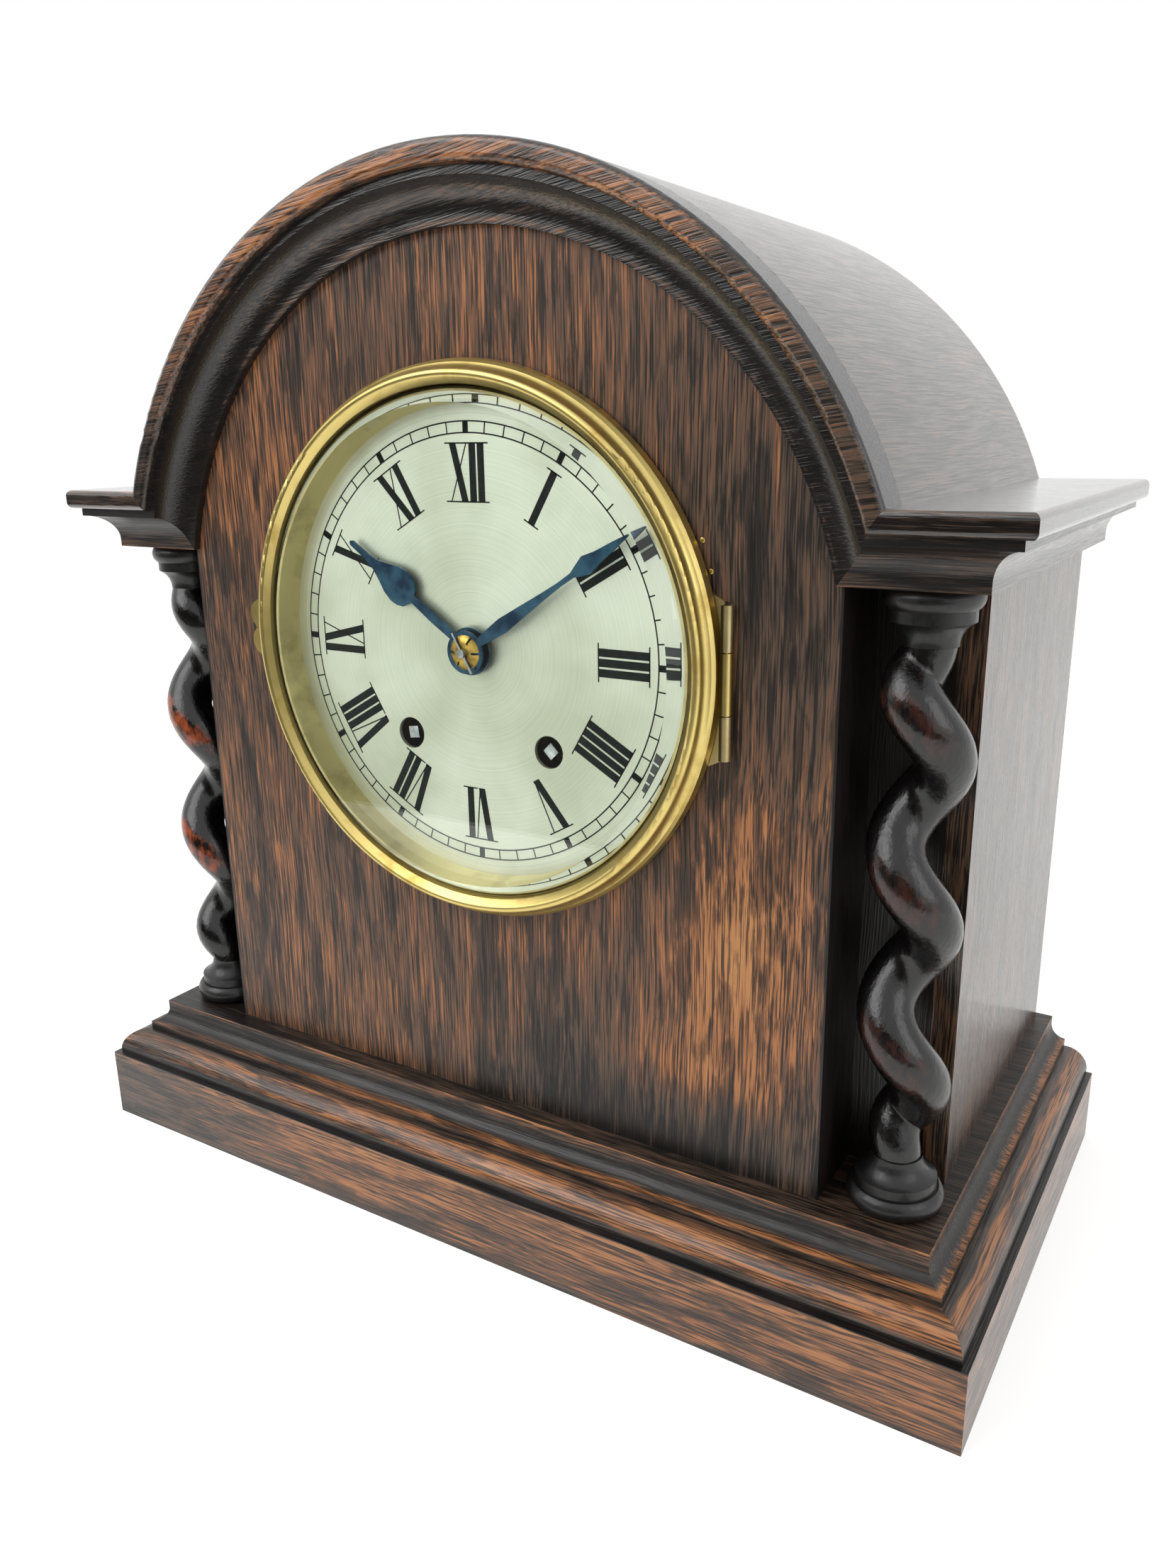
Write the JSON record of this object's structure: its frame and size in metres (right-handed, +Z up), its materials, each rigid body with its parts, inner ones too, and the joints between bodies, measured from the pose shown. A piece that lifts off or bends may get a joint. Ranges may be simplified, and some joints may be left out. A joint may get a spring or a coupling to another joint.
{
  "type": "arched mantel clock",
  "caption": "Arch-topped mantel clock with twisted columns, silvered dial behind a hinged brass bezel, spring-driven striking movement and pendulum in a stained oak case.",
  "frame": {"origin": "centre of the plinth's underside, where the clock stands", "axes": "+Z up, front towards -Y, +X to the viewer's right"},
  "size_m": [0.322, 0.168, 0.3215],
  "materials": {
    "stained_oak": "satin varnish",
    "polished_brass": "polished",
    "brass": "brushed",
    "silvered_dial": "silvered, satin",
    "bevelled_glass": "clear",
    "blued_steel": "heat blued",
    "steel": "bright",
    "cast_iron": "blackened"
  },
  "bodies": {
    "case": {"plinth_front": "stained_oak", "plinth_left": "stained_oak", "plinth_right": "stained_oak", "plinth_back": "stained_oak", "base_board": "stained_oak", "platform_board": "stained_oak", "left_side_panel": "stained_oak", "right_side_panel": "stained_oak", "left_corner_post": "stained_oak", "right_corner_post": "stained_oak", "front_panel": "stained_oak", "arch_moulding": "stained_oak", "left_shelf": "stained_oak", "right_shelf": "stained_oak", "left_cornice_front": "stained_oak", "right_cornice_front": "stained_oak", "left_cornice_side": "stained_oak", "right_cornice_side": "stained_oak", "roof_shell": "stained_oak", "left_column": "stained_oak", "right_column": "stained_oak", "dial_plate": "silvered_dial", "dial_feet": "brass", "dial_surround": "polished_brass", "front_plate": "brass", "back_plate": "brass", "plate_pillars": "brass", "movement_brackets": "steel", "gong_coil": "steel", "gong_stand": "cast_iron", "back_frame": "stained_oak", "back_hinge_frame_leaves": "brass"},
    "bezel": {"bezel_ring": "polished_brass", "bezel_glass": "bevelled_glass", "glass_retainer": "brass", "bezel_hinge_leaf": "polished_brass"},
    "back_door_body": {"back_door": "stained_oak", "back_hinge_door_leaves": "brass"},
    "catch": {"door_catch": "brass"},
    "minute_body": {"centre_arbor": "brass", "cannon_pinion": "brass", "minute_hand": "blued_steel", "hand_washer": "brass", "taper_pin": "steel"},
    "hour_body": {"hour_wheel": "brass", "hour_hand": "blued_steel"},
    "minute_wheel_body": {"minute_wheel": "brass"},
    "second_body": {"second_wheel": "brass"},
    "going_barrel_body": {"going_barrel": "brass"},
    "third_body": {"third_wheel": "brass"},
    "escape_body": {"escape_wheel": "brass"},
    "going_winder": {"going_winding_arbor": "steel"},
    "strike_winder": {"strike_winding_arbor": "steel"},
    "strike_barrel_body": {"strike_barrel": "brass"},
    "pin_wheel_body": {"pin_wheel": "brass"},
    "hammer_body": {"hammer": "steel"},
    "pendulum": {"pendulum_rod": "steel"},
    "bob": {"pendulum_bob": "brass"},
    "nut": {"rating_nut": "brass"},
    "anchor": {"pallet_anchor": "steel"}
  },
  "joints": [
    {"name": "bezel_door", "type": "hinge", "parent": "case", "child": "bezel", "pos_m": [0.0824, -0.0639, 0.1877], "axis": [0, 0, 1], "range_deg": [0, 110]},
    {"name": "back_door_swing", "type": "hinge", "parent": "case", "child": "back_door_body", "pos_m": [0.0797, 0.0826, 0.13], "axis": [0, 0, -1], "range_deg": [0, 110]},
    {"name": "catch_turn", "type": "hinge", "parent": "case", "child": "catch", "pos_m": [-0.0875, 0.0822, 0.16], "axis": [0, 1, 0], "range_deg": [0, 90]},
    {"name": "minute_turn", "type": "hinge", "parent": "case", "child": "minute_body", "pos_m": [0, -0.058, 0.1892], "axis": [0, 1, 0], "continuous": true},
    {"name": "hour_turn", "type": "hinge", "parent": "case", "child": "hour_body", "pos_m": [0, -0.058, 0.1892], "axis": [0, 1, 0], "continuous": true},
    {"name": "minute_wheel_turn", "type": "hinge", "parent": "case", "child": "minute_wheel_body", "pos_m": [0.00705, -0.048, 0.20141], "axis": [0, 1, 0], "continuous": true},
    {"name": "second_turn", "type": "hinge", "parent": "case", "child": "second_body", "pos_m": [0.01806, -0.025, 0.18795], "axis": [0, 1, 0], "continuous": true},
    {"name": "going_barrel_turn", "type": "hinge", "parent": "case", "child": "going_barrel_body", "pos_m": [0.0252, -0.025, 0.1615], "axis": [0, 1, 0], "continuous": true},
    {"name": "third_turn", "type": "hinge", "parent": "case", "child": "third_body", "pos_m": [-0.00748, -0.025, 0.20524], "axis": [0, 1, 0], "continuous": true},
    {"name": "escape_turn", "type": "hinge", "parent": "case", "child": "escape_body", "pos_m": [0, -0.025, 0.21819], "axis": [0, 1, 0], "continuous": true},
    {"name": "going_winding", "type": "hinge", "parent": "case", "child": "going_winder", "pos_m": [0.0252, -0.05, 0.1615], "axis": [0, 1, 0], "range_deg": [0, 1260]},
    {"name": "strike_winding", "type": "hinge", "parent": "case", "child": "strike_winder", "pos_m": [-0.0252, -0.05, 0.1615], "axis": [0, 1, 0], "range_deg": [0, 1260]},
    {"name": "strike_barrel_turn", "type": "hinge", "parent": "case", "child": "strike_barrel_body", "pos_m": [-0.0252, -0.025, 0.1615], "axis": [0, 1, 0], "continuous": true},
    {"name": "pin_wheel_turn", "type": "hinge", "parent": "case", "child": "pin_wheel_body", "pos_m": [-0.01806, -0.025, 0.18795], "axis": [0, 1, 0], "continuous": true},
    {"name": "hammer_swing", "type": "hinge", "parent": "case", "child": "hammer_body", "pos_m": [-0.044, 0.03, 0.1962], "axis": [0, 1, 0], "range_deg": [0, 12]},
    {"name": "pendulum_swing", "type": "hinge", "parent": "case", "child": "pendulum", "pos_m": [0, 0.008, 0.23419], "axis": [0, 1, 0], "range_deg": [-4, 4]},
    {"name": "bob_slide", "type": "slide", "parent": "pendulum", "child": "bob", "axis": [0, 0, 1], "range_m": [-0.002, 0.002]},
    {"name": "nut_turn", "type": "hinge", "parent": "bob", "child": "nut", "pos_m": [0, 0.008, 0.07669], "axis": [0, 0, 1], "range_deg": [-1500, 1500]},
    {"name": "anchor_rock", "type": "hinge", "parent": "case", "child": "anchor", "pos_m": [0, -0.002, 0.23419], "axis": [0, 1, 0], "range_deg": [-5, 5]}
  ],
  "couplings": [
    {"joint": "hour_turn", "follows": "minute_turn", "ratio": 0.083333},
    {"joint": "minute_wheel_turn", "follows": "minute_turn", "ratio": -0.33333},
    {"joint": "second_turn", "follows": "minute_turn", "ratio": -0.2},
    {"joint": "going_barrel_turn", "follows": "minute_turn", "ratio": 0.033333},
    {"joint": "third_turn", "follows": "minute_turn", "ratio": -10},
    {"joint": "escape_turn", "follows": "minute_turn", "ratio": 100},
    {"joint": "pin_wheel_turn", "follows": "strike_barrel_turn", "ratio": -6},
    {"joint": "anchor_rock", "follows": "pendulum_swing", "ratio": 1},
    {"joint": "nut_turn", "follows": "bob_slide", "rad_per_m": 12566}
  ]
}
